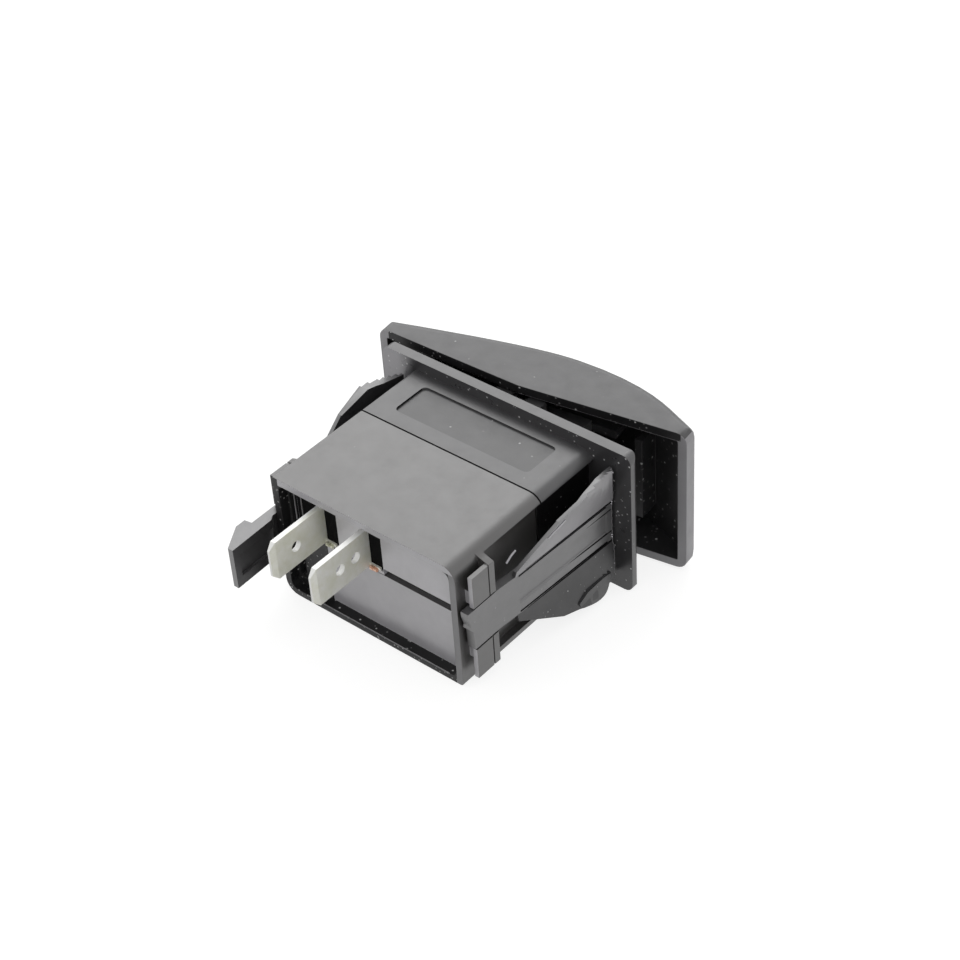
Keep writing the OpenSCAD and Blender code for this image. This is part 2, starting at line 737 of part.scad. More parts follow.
// all that lies inside the slanted face of a wing, moved in by inset
module inside_slant(inset) strip_frame() translate([-inset, 0, strip_half]) rotate([0, wing_slant, 0])
    block([-body_len, -body_h, -body_h], [0, body_depth, body_h]);

// one serrated wing
module wing(w) difference() {
    intersection() {
        along_z(strip_half - weld, body_h / 2) polygon(wing_outside(w));
        along_x(clip_x - 2 * cut, apex_x + cut) polygon(wing_plan(w));
        inside_slant(0);
    }
    intersection() {
        along_z(strip_half - cut, body_h) polygon(wing_inside(w));
        inside_slant(wing_t);
    }
}

// side outline of the strip, from the teeth to y_end behind the pivot
function strip_side(y_end) = [
    [clip_x, y_end], [clip_x, strip_root_y], [strip_bend_x, strip_bend_y], [strip_front_x, clip_front],
    [strip_front_x + strip_t, clip_front], [strip_bend_x + strip_t, strip_bend_y],
    [clip_x + strip_t, strip_root_y], [clip_x + strip_t, y_end]];

// strip, wings and pivots of a clip
module clip_core(w, y_end) {
    difference() {
        along_z(-strip_half, strip_half) polygon(strip_side(y_end));
        strip_frame() {
            for (s = [0, 1]) mirror([0, 0, s])
                block([slot_floor - strip_t, cut, strip_half - slot_w - slot_edge],
                      [cut, slot_len, strip_half - slot_edge]);
            along_y(cut, slot_len) polygon([[cut, -trough_edge], [0, -trough_edge],
                [-trough_depth, -trough_floor], [-trough_depth, trough_floor],
                [0, trough_edge], [cut, trough_edge]]);
        }
    }
    for (s = [0, 1]) mirror([0, 0, s]) {
        wing(w);
        translate([clip_pivot_x, clip_pivot_y, strip_half - cut])
            cylinder(r = clip_pin_r, h = clip_pin_len + cut);
    }
}

// clip on the -X side, whose latch finger has broken off at the rear rim
module left_snap_clip() color(dark_plastic) mirror([1, 0, 0]) difference() {
    clip_core(left_wing, body_depth);
    along_x(clip_x - cut, clip_x + strip_t + cut) polygon([
        [body_depth + cut, strip_half + cut], [body_depth - stub_back, strip_half + cut],
        [body_depth - stub_back, 2.7], [body_depth - 0.6, 1.1], [body_depth - 0.4, 0.6],
        [body_depth - 1, -0.2], [body_depth - 1.2, -strip_half - cut],
        [body_depth + cut, -strip_half - cut]]);
}

// clip on the +X side, with its latch finger
module right_snap_clip() color(dark_plastic) difference() {
    union() {
        clip_core(right_wing, body_depth + cut);
        along_z(-strip_half, strip_half) polygon([
            [clip_x, body_depth - 0.5], [clip_x, body_depth + 0.4], [clip_x - 0.5, body_depth + 1.2],
            [clip_x - finger_lean, body_depth + finger_out],
            [clip_x - finger_lean + finger_tip, body_depth + finger_out],
            [clip_x + strip_t + barb_h, body_depth + barb_y + barb_len],
            [clip_x + strip_t + barb_h, body_depth + barb_y],
            [clip_x + strip_t, body_depth + barb_y - 0.2], [clip_x + strip_t, body_depth - 0.5]]);
    }
    along_z(-channel_half, channel_half) polygon([
        [clip_x - 2 * cut, body_depth + channel_end],
        [clip_x - 0.5 + finger_channel, body_depth + channel_end],
        [clip_x - finger_lean + finger_channel, body_depth + finger_out - channel_end],
        [clip_x - 2 * cut, body_depth + finger_out - channel_end]]);
}

// ---------------------------------------------------------------- nodes

bezel_frame();
rear_base();
base_gasket();
terminal_plate();
left_snap_clip();
right_snap_clip();
centre_terminal();
end_terminal();
fulcrum_bracket();
fulcrum_rivet();
contact_blade();
moving_contact();
fixed_contact();
rocker_cap();
rocker_carrier();
pivot_pin();
contact_plunger();
plunger_spring();
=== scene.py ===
import json
import math

import bmesh
import bpy
from mathutils import Matrix, Vector
from mathutils.bvhtree import BVHTree

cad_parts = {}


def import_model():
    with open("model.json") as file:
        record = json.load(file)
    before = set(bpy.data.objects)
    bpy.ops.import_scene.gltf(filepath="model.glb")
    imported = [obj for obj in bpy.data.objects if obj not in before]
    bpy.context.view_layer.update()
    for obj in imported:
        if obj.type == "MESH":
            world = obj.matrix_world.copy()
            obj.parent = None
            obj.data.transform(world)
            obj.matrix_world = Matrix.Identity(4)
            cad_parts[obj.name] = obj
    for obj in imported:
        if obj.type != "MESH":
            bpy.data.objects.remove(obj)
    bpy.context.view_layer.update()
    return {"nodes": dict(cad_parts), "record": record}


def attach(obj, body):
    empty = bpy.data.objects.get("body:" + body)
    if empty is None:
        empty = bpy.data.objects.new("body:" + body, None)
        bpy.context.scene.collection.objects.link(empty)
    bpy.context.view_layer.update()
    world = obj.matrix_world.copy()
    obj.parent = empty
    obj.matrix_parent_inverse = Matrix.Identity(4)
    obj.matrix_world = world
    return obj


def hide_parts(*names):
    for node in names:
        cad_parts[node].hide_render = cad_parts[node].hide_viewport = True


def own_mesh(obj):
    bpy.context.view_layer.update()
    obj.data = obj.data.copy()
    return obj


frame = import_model()

# The panel rocker switch: finishes, painted reflections, painted shade and painted glints, rounded edges and
# small marks over the imported solids. +Y leaves the panel towards the terminals, and +Z is the side that the
# terminals lie on.

MM = 0.001
scene = bpy.context.scene

# Sizes that this file shares with part.scad, in millimetres and degrees
BODY_DEPTH = 29.8
BODY_HALF = 10.4                # half the body's height, and below it half the bezel's
BEZEL_HALF = 12.2
BEZEL_T = 1.7
PIVOT_FRONT = 1.6
TILT = 6.0
PLATE_Y = BODY_DEPTH - 1.6      # the terminal plate's face
TAB_END = BODY_DEPTH + 8.3
CENTRE_TAB_X = 0.95
TAB_PITCH = 8.1


# ---------------------------------------------------------------- materials

def new_material(name):
    """A material with an empty node tree, its output and its Principled shader."""
    mat = bpy.data.materials.new(name)
    mat.use_nodes = True
    nodes, links = mat.node_tree.nodes, mat.node_tree.links
    return mat, nodes, links, nodes["Principled BSDF"]


def add_noise(nodes, links, scale, detail=4.0, rough=0.6):
    """Noise in object space, in cycles per metre."""
    coord = nodes.new("ShaderNodeTexCoord")
    noise = nodes.new("ShaderNodeTexNoise")
    noise.inputs["Scale"].default_value = scale
    noise.inputs["Detail"].default_value = detail
    noise.inputs["Roughness"].default_value = rough
    links.new(coord.outputs["Object"], noise.inputs["Vector"])
    return noise.outputs["Fac"]


def ramp(nodes, links, source, low, high):
    """A colour between two stops, each a place from 0 to 1 and a colour."""
    node = nodes.new("ShaderNodeValToRGB")
    for stop, (place, tone) in zip(node.color_ramp.elements, (low, high)):
        stop.position = place
        stop.color = (*tone, 1.0)
    links.new(source, node.inputs["Fac"])
    return node.outputs["Color"]


def spread(nodes, links, source, low, high):
    """Maps the middle of a noise's range to low..high."""
    node = nodes.new("ShaderNodeMapRange")
    node.inputs["From Min"].default_value = 0.3
    node.inputs["From Max"].default_value = 0.7
    node.inputs["To Min"].default_value = low
    node.inputs["To Max"].default_value = high
    links.new(source, node.inputs["Value"])
    return node.outputs["Result"]


def combined(nodes, links, operation, a, b):
    """Two values brought together by one operation of the Math node."""
    node = nodes.new("ShaderNodeMath")
    node.operation = operation
    links.new(a, node.inputs[0])
    links.new(b, node.inputs[1])
    return node.outputs["Value"]


def mixed(nodes, links, factor, base, tone):
    """A colour that turns into a flat tone as the factor grows."""
    node = nodes.new("ShaderNodeMix")
    node.data_type = "RGBA"
    links.new(factor, node.inputs["Factor"])
    links.new(base, node.inputs["A"])
    node.inputs["B"].default_value = (*tone, 1.0)
    return node.outputs["Result"]


def faded(nodes, links, base, axis, start, end, tone):
    """Turns a colour into a second tone between two places on an axis, in metres."""
    coord = nodes.new("ShaderNodeTexCoord")
    split = nodes.new("ShaderNodeSeparateXYZ")
    links.new(coord.outputs["Object"], split.inputs["Vector"])
    along = nodes.new("ShaderNodeMapRange")
    along.inputs["From Min"].default_value = start
    along.inputs["From Max"].default_value = end
    links.new(split.outputs[axis], along.inputs["Value"])
    return mixed(nodes, links, along.outputs["Result"], base, tone)


def dusted(nodes, links, base, dust, cover, size, spot):
    """Specks of dust over a colour. They take a brightness, the noise level that their patches lie
    above, the cells per metre, and the distances from a cell's point where a speck fades."""
    coord = nodes.new("ShaderNodeTexCoord")
    cells = nodes.new("ShaderNodeTexVoronoi")
    cells.inputs["Scale"].default_value = size
    links.new(coord.outputs["Object"], cells.inputs["Vector"])
    speck = ramp(nodes, links, cells.outputs["Distance"], (spot[0], (1, 1, 1)), (spot[1], (0, 0, 0)))
    patch = add_noise(nodes, links, 340.0)
    where = ramp(nodes, links, patch, (cover, (0, 0, 0)), (cover + 0.08, (1, 1, 1)))
    own = ramp(nodes, links, cells.outputs["Color"], (0.35, (0, 0, 0)), (0.95, (dust, dust, dust)))
    level = combined(nodes, links, "MULTIPLY", speck, where)
    level = combined(nodes, links, "MULTIPLY", level, own)
    return mixed(nodes, links, level, base, (0.7, 0.7, 0.7))


def add_grain(nodes, links, shader, noise, strength, height):
    """Fine bumps on a face, their height in metres."""
    dents = nodes.new("ShaderNodeBump")
    dents.inputs["Strength"].default_value = strength
    dents.inputs["Distance"].default_value = height
    links.new(noise, dents.inputs["Height"])
    links.new(dents.outputs["Normal"], shader.inputs["Normal"])


def plastic(name, dark, light, rough, grain=5200.0, ior=1.55, bump=0.05, dust=0.0, cover=0.6,
            size=900.0, spot=(0.09, 0.17), fade=None):
    """Moulded plastic: cloudy colour, uneven gloss, fine grain and specks of dust."""
    mat, nodes, links, shader = new_material(name)
    cloud = add_noise(nodes, links, 160.0, 5.0, 0.65)
    base = ramp(nodes, links, cloud, (0.3, dark), (0.7, light))
    # Where a fade is given, its second tone is a painted reflection along one axis
    if fade:
        base = faded(nodes, links, base, *fade)
    if dust:
        base = dusted(nodes, links, base, dust, cover, size, spot)
    links.new(base, shader.inputs["Base Color"])
    gloss = add_noise(nodes, links, 420.0, 6.0, 0.7)
    links.new(spread(nodes, links, gloss, rough - 0.05, rough + 0.07), shader.inputs["Roughness"])
    shader.inputs["IOR"].default_value = ior
    add_grain(nodes, links, shader, add_noise(nodes, links, grain, 3.0, 0.5), bump, 0.05 * MM)
    return mat


def metal(name, dark, light, rough, scale, metallic=1.0, ior=1.5):
    """Plated or drawn metal with a slightly mottled, brushed face."""
    mat, nodes, links, shader = new_material(name)
    shader.inputs["Metallic"].default_value = metallic
    shader.inputs["IOR"].default_value = ior
    mottle = add_noise(nodes, links, scale, 6.0, 0.7)
    links.new(ramp(nodes, links, mottle, (0.3, dark), (0.7, light)), shader.inputs["Base Color"])
    gloss = add_noise(nodes, links, scale * 4)
    links.new(spread(nodes, links, gloss, rough - 0.06, rough + 0.08), shader.inputs["Roughness"])
    add_grain(nodes, links, shader, add_noise(nodes, links, 9000.0, 2.0), 0.06, 0.03 * MM)
    return mat


def grey(level):
    """A grey with the faint blue of carbon black."""
    return (level, level * 0.98, level * 1.03)


# Faces that mirror the bright floor in the photograph take lighter base colours of their own, a painted
# reflection, and faces in shade take darker ones, a painted shade
PLASTICS = {
    "black_plastic": dict(dark=grey(0.036), light=grey(0.046), rough=0.36, ior=1.85, dust=0.8),
    "base_plastic": dict(dark=(0.042, 0.04, 0.039), light=(0.056, 0.054, 0.053), rough=0.36, ior=2.0,
                         dust=0.8),
    # light grey: a painted reflection of the floor on the black rear base's rim and shroud floor
    "rear_plastic": dict(dark=grey(0.39), light=grey(0.47), rough=0.34, ior=2.1, dust=0.5),
    # near black with dust specks: a painted shade on rims and walls that lie in shade
    "rim_plastic": dict(dark=grey(0.008), light=grey(0.016), rough=0.42, ior=1.35, dust=1.0, cover=0.34,
                        size=1300.0, spot=(0.12, 0.24)),
    # mid grey: a painted reflection of the floor on the rim's -X side
    "side_rim": dict(dark=grey(0.09), light=grey(0.14), rough=0.36, ior=1.9, dust=0.6),
    # near black: a painted shade on the side walls where the clips shade them
    "wall_plastic": dict(dark=grey(0.006), light=grey(0.011), rough=0.4, ior=1.25, dust=0.9, cover=0.44,
                         size=1100.0),
    "label_plastic": dict(dark=grey(0.03), light=grey(0.04), rough=0.34, ior=1.7, dust=0.8, cover=0.52,
                          size=700.0),
    # dust specks, and a painted reflection: light grey towards the flange's +X end
    "dusty_plastic": dict(dark=grey(0.04), light=grey(0.056), rough=0.3, dust=1.0, cover=0.36, size=1400.0,
                          spot=(0.12, 0.24), fade=("X", 16.5 * MM, 19.5 * MM, grey(0.36))),
    # darker than the black plastic: a painted shade in hollows, with dust specks
    "inner_plastic": dict(dark=grey(0.02), light=grey(0.034), rough=0.46, grain=4000.0, ior=1.45, dust=1.0,
                          cover=0.42, size=1100.0, spot=(0.13, 0.26)),
    # black: painted shade for the blocks and beads laid into slots, the end bay and grooves
    "painted_shade_black": dict(dark=grey(0.003), light=grey(0.006), rough=0.7, grain=4000.0, ior=1.15),
    "rocker_plastic": dict(dark=grey(0.036), light=grey(0.046), rough=0.42, grain=7000.0, ior=1.7,
                           bump=0.12, dust=0.6),
    # light grey: a painted reflection on the cap's end faces and its +X rim
    "rocker_end": dict(dark=grey(0.23), light=grey(0.29), rough=0.42, grain=7000.0, ior=1.85, bump=0.12,
                       dust=0.6),
    # light grey: a painted reflection of the floor on the cap's lower and -X rim
    "rocker_rim": dict(dark=grey(0.19), light=grey(0.24), rough=0.42, grain=7000.0, ior=1.85, bump=0.12,
                       dust=0.6),
    "dark_plastic": dict(dark=grey(0.045), light=grey(0.075), rough=0.36, grain=3000.0, ior=2.25, bump=0.2,
                         dust=0.6),
    # light grey: painted light on the clips' upper wings, which face the light
    "wing_plastic": dict(dark=grey(0.25), light=grey(0.34), rough=0.34, grain=3000.0, ior=2.1, bump=0.2,
                         dust=0.7, cover=0.5),
    # darker: painted shade on the clips' lower wings, with dust specks
    "low_plastic": dict(dark=grey(0.022), light=grey(0.036), rough=0.4, grain=3000.0, ior=1.65, bump=0.2,
                        dust=0.9, cover=0.45, size=1300.0),
    # darker: painted shade on the clip faces turned towards the body
    "finger_plastic": dict(dark=grey(0.03), light=grey(0.044), rough=0.4, grain=3000.0, ior=1.5, bump=0.2,
                           dust=0.7),
    # light grey: a painted reflection of the bright floor, as on the rear base's rim
    "grey_plastic": dict(dark=grey(0.44), light=grey(0.54), rough=0.34, grain=6000.0, ior=2.2, dust=0.5),
    "rubber": dict(dark=grey(0.02), light=grey(0.03), rough=0.7, grain=5000.0, ior=1.5),
    # near white: painted glints on edges
    "painted_glint": dict(dark=grey(0.5), light=grey(0.75), rough=0.3, grain=3000.0, ior=1.8),
    # light grey beads: painted highlights along edges, ribs and the lower rim
    "line": dict(dark=grey(0.16), light=grey(0.24), rough=0.3, grain=3000.0, ior=1.8),
}
METALS = {
    "tin": dict(dark=(0.8, 0.8, 0.64), light=(1.0, 1.0, 0.95), rough=0.4, scale=340.0, metallic=0.1, ior=2.2),
    # near white: a painted highlight on the tabs' cut edges
    "tin_painted_highlight": dict(dark=(0.97, 0.97, 0.94), light=(1.0, 1.0, 0.98), rough=0.4, scale=420.0, metallic=0.0,
                     ior=2.2),
    "copper": dict(dark=(0.62, 0.33, 0.2), light=(0.78, 0.47, 0.32), rough=0.38, scale=600.0),
    "silver": dict(dark=(0.78, 0.78, 0.76), light=(0.88, 0.88, 0.86), rough=0.25, scale=500.0),
    "steel": dict(dark=(0.5, 0.51, 0.53), light=(0.62, 0.63, 0.65), rough=0.3, scale=500.0),
    "lance_tin": dict(dark=(0.45, 0.45, 0.33), light=(0.85, 0.85, 0.72), rough=0.4, scale=900.0,
                      metallic=0.5),
    "lance_copper": dict(dark=(0.7, 0.36, 0.22), light=(0.95, 0.72, 0.58), rough=0.4, scale=900.0,
                         metallic=0.5),
}
MATS = {name: plastic(name, **look) for name, look in PLASTICS.items()}
MATS.update({name: metal(name, **look) for name, look in METALS.items()})

SLOT_OF = {s["node"]: s["material_slot"] for s in frame["record"]["subparts"]}
BODY_OF = {n: b for b, names in frame["record"]["behaviour"]["bodies"].items() for n in names}
OWN_FINISH = {"rocker_cap": "rocker_plastic", "rear_base": "base_plastic"}


def finish_of(node):
    """The finish a node takes: its slot's, or one of its own."""
    return OWN_FINISH.get(node, SLOT_OF[node])


# ---------------------------------------------------------------- which finish, painted reflection or painted shade a face takes
# In each rule c is the face's middle in millimetres and n its normal. The first match sets the
# finish, most of them painted reflections and painted shade, and None leaves the node's own.

SHROUD_X = 15.25        # half the shroud's opening on X and on Z
SHROUD_Z = 9.3
SHROUD_Y = 24.0         # faces between the walls are the shroud's inside from here back
END_BAY_X = 8.6         # the bay beyond the end tab starts here
WALL_X = 16.5           # the body's side walls lie within this
WALL_Z = -3.8           # the side walls are dark above this, where the clip shades them
LABEL_Z = BODY_HALF - 0.3       # the floor of the label's recess
STRIP_Z = 3.6           # a clip's strip lies within this, and its wings beyond
WING_X = 18.5


def base_face(c, n):
    """The rear base: painted reflections and painted shade on its rim and on the floor and walls of the
    shroud, and painted shade on its shaded sides.
    """
    if n.y > 0.9 and c.y > PLATE_Y + 0.8:
        if c.z > SHROUD_Z and c.x < SHROUD_X:
            return "rear_plastic"
        return "side_rim" if c.x < -SHROUD_X else "rim_plastic"
    if n.y > 0.9 and c.y > PLATE_Y - 0.7:
        return "rim_plastic" if c.x > END_BAY_X else "rear_plastic"
    within = abs(c.x) < SHROUD_X + 0.15 and abs(c.z) < SHROUD_Z + 0.1
    if within and c.y > PLATE_Y - 0.2 and abs(n.y) < 0.5:
        return "rim_plastic"
    if within and c.y > SHROUD_Y and c.z < SHROUD_Z - 0.1 and (abs(n.x) > 0.5 or n.y > 0.5):
        return "inner_plastic"
    if abs(n.x) > 0.9 and SHROUD_X + 0.15 < abs(c.x) < WALL_X and c.y < SHROUD_Y and c.z > WALL_Z:
        return "wall_plastic"
    return None


def frame_face(c, n):
    """The bezel frame: dust and a painted reflection on the flange's rear face, the label's recess, and
    painted shade on the body's sides.
    """
    if n.y > 0.9 and abs(c.y) < 0.2:
        return "dusty_plastic"
    if n.z > 0.9 and abs(c.z - LABEL_Z) < 0.2 and c.y > 1.5:
        return "label_plastic"
    if abs(n.x) > 0.9 and abs(c.x) < WALL_X and c.y > 0.2:
        return "wall_plastic"
    return None


def clip_face(c, n):
    """A clip: painted shade on the faces towards the body, and on the slanted wings painted light above its
    strip and painted shade below it.
    """
    if abs(n.x) > 0.5 and n.x * c.x < 0:
        return "finger_plastic"
    if abs(c.x) > WING_X and abs(c.z) > STRIP_Z and abs(n.x) > 0.5:
        return "wing_plastic" if c.z > 0 else "low_plastic"
    return None


# The cap is drawn tilted about its pin, and its rule works on the cap turned back to level
PIVOT = Matrix.Translation((0, -PIVOT_FRONT, 0))
LEVEL = PIVOT @ Matrix.Rotation(math.radians(-TILT), 4, "Z") @ PIVOT.inverted()
CAP_MIDDLE_X = -0.4
CAP_END_X = (-24.7, 23.9)       # the end walls' inner faces
CAP_SIDE_Z = 10.9               # the side walls' inner faces
CAP_RIM_Y = -6.0                # the rim lies behind this


def cap_face(c, n):
    """The rocker cap: painted reflections on its high end and where its rim mirrors the floor, and painted
    shade on the rest of its rim and its hollow inside.
    """
    c = LEVEL @ c
    n = LEVEL.to_3x3() @ n
    if n.y > 0.8 and c.y > CAP_RIM_Y:
        if c.x > CAP_END_X[1]:
            return "rocker_end"
        # Rim faces that mirror the floor take a painted reflection, the others a painted shade
        light = c.z < -CAP_SIDE_Z or (c.x < -18.5 and c.z < 11.5)
        return "rocker_rim" if light else "rim_plastic"
    if abs(c.x - CAP_MIDDLE_X) < 24.6 and abs(c.z) < CAP_SIDE_Z + 0.1 and n.y > -0.3:
        return "inner_plastic"
    if n.x < -0.8:
        return "rocker_end"
    return None


# Where a node's faces are cut before its rule is used: the way the faces look, the axis that the
# cuts cross, and the cuts' places in millimetres
REAR, SIDE, UP = Vector((0, 1, 0)), Vector((1, 0, 0)), Vector((0, 0, 1))
CUTS = {
    "rear_base": [(REAR, SIDE, (-SHROUD_X, END_BAY_X, SHROUD_X)), (REAR, UP, (-SHROUD_Z, SHROUD_Z)),
                  (SIDE, UP, (WALL_Z,))],
    "rocker_cap": [(REAR, SIDE, CAP_END_X), (REAR, UP, (-CAP_SIDE_Z, CAP_SIDE_Z))],
}

# Nodes whose edges are rounded: the width in millimetres and the rule for their faces
SOFT = {
    "bezel_frame": (0.13, frame_face), "rear_base": (0.13, base_face), "rocker_cap": (0.16, cap_face),
    "left_snap_clip": (0.08, clip_face), "right_snap_clip": (0.08, clip_face),
}
# How far each tab reaches beyond its solid in the photograph, in millimetres. The last of its
# blade moves, beyond the holes
TABS = {"centre_terminal": 1.0, "end_terminal": 0.4}
TAB_TIP = 1.6


# ---------------------------------------------------------------- copies of the CAD nodes

def put(name, data, body, mat):
    """A new object from a mesh or a curve, riding on a body."""
    obj = bpy.data.objects.new(name, data)
    scene.collection.objects.link(obj)
    data.materials.clear()
    data.materials.append(MATS[mat])
    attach(obj, body)
    return obj


def put_for(node, mesh):
    """A changed copy of a CAD node's mesh that stands for the node."""
    obj = put(node + "_body", mesh, BODY_OF[node], finish_of(node))
    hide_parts(node)
    return obj


def cut_faces(bm, node):
    """Cuts some faces, so that parts of them can take a painted reflection or a painted shade of their own.
    """
    for way, axis, places in CUTS.get(node, ()):
        for place in places:
            faces = [f for f in bm.faces if abs(f.normal.dot(way)) > 0.9]
            parts = dict.fromkeys(part for f in faces for part in (*f.edges, *f.verts, f))
            bmesh.ops.bisect_plane(bm, geom=list(parts), dist=1e-7, plane_co=axis * place * MM, plane_no=axis)


def round_front(bm):
    """Rounds the front edges along the bezel's two long sides, as its ends are."""
    near = 0.05 * MM
    front = {v for v in bm.verts
             if abs(v.co.y + BEZEL_T * MM) < near and abs(v.co.z) > BEZEL_HALF * MM - near}
    edges = [e for e in bm.edges if all(v in front for v in e.verts)]
    bmesh.ops.bevel(bm, geom=edges, offset=0.9 * MM, segments=5, profile=0.5, affect="EDGES",
                    clamp_overlap=True)


def softened(node, width, rule):
    """A copy of a CAD node with its sharp edges rounded, as moulding leaves them."""
    mesh = frame["nodes"][node].data.copy()
    bm = bmesh.new()
    bm.from_mesh(mesh)
    bmesh.ops.remove_doubles(bm, verts=bm.verts, dist=1e-6)
    bmesh.ops.dissolve_limit(bm, angle_limit=math.radians(0.6), verts=bm.verts, edges=bm.edges)
    if node == "bezel_frame":
        round_front(bm)
    cut_faces(bm, node)
    for f in bm.faces:
        f.smooth = True
    bm.to_mesh(mesh)
    bm.free()
    obj = put_for(node, mesh)
    found = [rule(Vector(p.center) / MM, Vector(p.normal)) for p in mesh.polygons]
    names = sorted({n for n in found if n})
    for name in names:
        mesh.materials.append(MATS[name])
    for p, name in zip(mesh.polygons, found):
        p.material_index = names.index(name) + 1 if name else 0
    edges = obj.modifiers.new("edges", "BEVEL")
    edges.width = width * MM
    edges.segments = 2
    edges.limit_method = "ANGLE"
    edges.angle_limit = math.radians(32.0)
    edges.miter_outer = "MITER_ARC"
    flat = obj.modifiers.new("flat", "WEIGHTED_NORMAL")
    flat.mode = "FACE_AREA"
    flat.weight = 80


def tab(node, reach):
    """A copy of a terminal with its blade drawn out, and a painted highlight in near white on its cut edges.
    """
    mesh = frame["nodes"][node].data.copy()
    for v in mesh.vertices:
        if v.co.y > (TAB_END - TAB_TIP) * MM:
            v.co.y += reach * MM
    put_for(node, mesh)
    mesh.materials.append(MATS["tin_painted_highlight"])
    for p in mesh.polygons:
        if abs(p.normal.x) < 0.9 and p.center.y > (PLATE_Y + 0.2) * MM:
            p.material_index = 1


def coil(node):
    """A copy of a coil spring, with a mesh of its own."""
    mesh = frame["nodes"][node].data.copy()
    obj = put_for(node, mesh)
    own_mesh(obj)


for node, obj in frame["nodes"].items():
    if node in SOFT:
        softened(node, *SOFT[node])
    elif node in TABS:
        tab(node, TABS[node])
    elif node == "plunger_spring":
        coil(node)
    else:
        obj.data.materials.clear()
        obj.data.materials.append(MATS[finish_of(node)])


# ---------------------------------------------------------------- small pieces, in millimetres

def bevelled(name, bm, edge):
    """A mesh from a closed form with its edges taken off."""
    bmesh.ops.bevel(bm, geom=list(bm.edges), offset=edge * MM, segments=2, affect="EDGES", clamp_overlap=True)
    mesh = bpy.data.meshes.new(name)
    bm.to_mesh(mesh)
    bm.free()
    return mesh


def block(name, low, high, body, mat, edge=0.04):
    """A box between two corners."""
    bm = bmesh.new()
    bmesh.ops.create_cube(bm, size=1.0)
    low, high = Vector(low) * MM, Vector(high) * MM
    for v in bm.verts:
        v.co = Vector([low[i] + (v.co[i] + 0.5) * (high[i] - low[i]) for i in range(3)])
    put(name, bevelled(name, bm, edge), body, mat)


def plate(name, outline, x0, x1, body, mat, slot, edge=0.15):
    """A flat piece between two places on X, with an outline on Y and Z."""
    bm = bmesh.new()
    face = bm.faces.new([bm.verts.new(Vector((x0, y, z)) * MM) for y, z in outline])
    swept = bmesh.ops.extrude_face_region(bm, geom=[face])["geom"]
    moved = [v for v in swept if isinstance(v, bmesh.types.BMVert)]
    bmesh.ops.translate(bm, vec=((x1 - x0) * MM, 0, 0), verts=moved)
    bmesh.ops.recalc_face_normals(bm, faces=bm.faces)
    put(name, bevelled(name, bm, edge), body, mat)


def thread(name, points, r, body, mat):
    """A thin round bead through points: a painted glint, a painted highlight along an edge or a groove's
    painted shade.
    """
    curve = bpy.data.curves.new(name, "CURVE")
    curve.dimensions = "3D"
    curve.bevel_depth = r * MM
    curve.bevel_resolution = 2
    curve.use_fill_caps = True
    line = curve.splines.new("POLY")
    line.points.add(len(points) - 1)
    for p, place in zip(line.points, points):
        p.co = (*(Vector(place) * MM), 1.0)
    put(name, curve, body, mat)


HOUSING = BODY_OF["rear_base"]


def tab_foot(name, x, lance):
    """A black block of painted shade in the slot beside a tab, and the sheared lance at the tab's foot in two
    pieces.
    """
    body, slot, y = BODY_OF[name + "_terminal"], SLOT_OF[name + "_terminal"], PLATE_Y
    block(name + "_slot_shade", (x - 2.79, y - 2.0, 1.45), (x - 0.42, y - 0.2, 7.7), HOUSING, "painted_shade_black")
    block(name + "_lance_foot", (x - 1.9, y - 0.05, 1.0), (x - 0.5, y + 0.4, 1.7), body, lance, 0.12)
    block(name + "_lance_tip", (x - 1.5, y + 0.1, 1.3), (x - 0.7, y + 0.7, 1.9), body, lance, 0.15)


def end_bay():
    """A black sheet of painted shade over the floor of the bay beyond the end tab, and the two ribs on it as
    light beads of painted highlight.
    """
    y = PLATE_Y
    block("shroud_end_shade", (9.6, y - 0.3, 1.0), (13.45, y + 0.06, 9.15), HOUSING, "painted_shade_black")
    for k, x in enumerate((12.6, 13.9)):
        rib = [(x, y + 0.12, 3.0), (x, y + 0.12, 9.2)]
        thread("shroud_rib_%d" % k, rib, 0.09, HOUSING, "line")


# A clip's grooves, drawn as black beads of painted shade: the radius, and X and Y at the bezel and at the far
# end
STRIP_EDGE = (0.2, (19.19, 0.5), (18.286, 18.2))
STRIP_FACE = (0.12, (19.2, 0.5), (18.243, 17.0))
GROOVE_SHADES = {3.52: STRIP_EDGE, 2.15: STRIP_FACE, -1.75: STRIP_FACE, -3.52: STRIP_EDGE}
# A painted highlight runs down a clip's edge beside the bezel: its start, its step and its points on Z, and
# which of its points carry painted glints as bright dots
HIGHLIGHT_TOP, HIGHLIGHT_STEP, HIGHLIGHT_POINTS = 9.2, 0.4, 48
GLINT_DOTS = (1, 14, 15, 29, 30, 42)


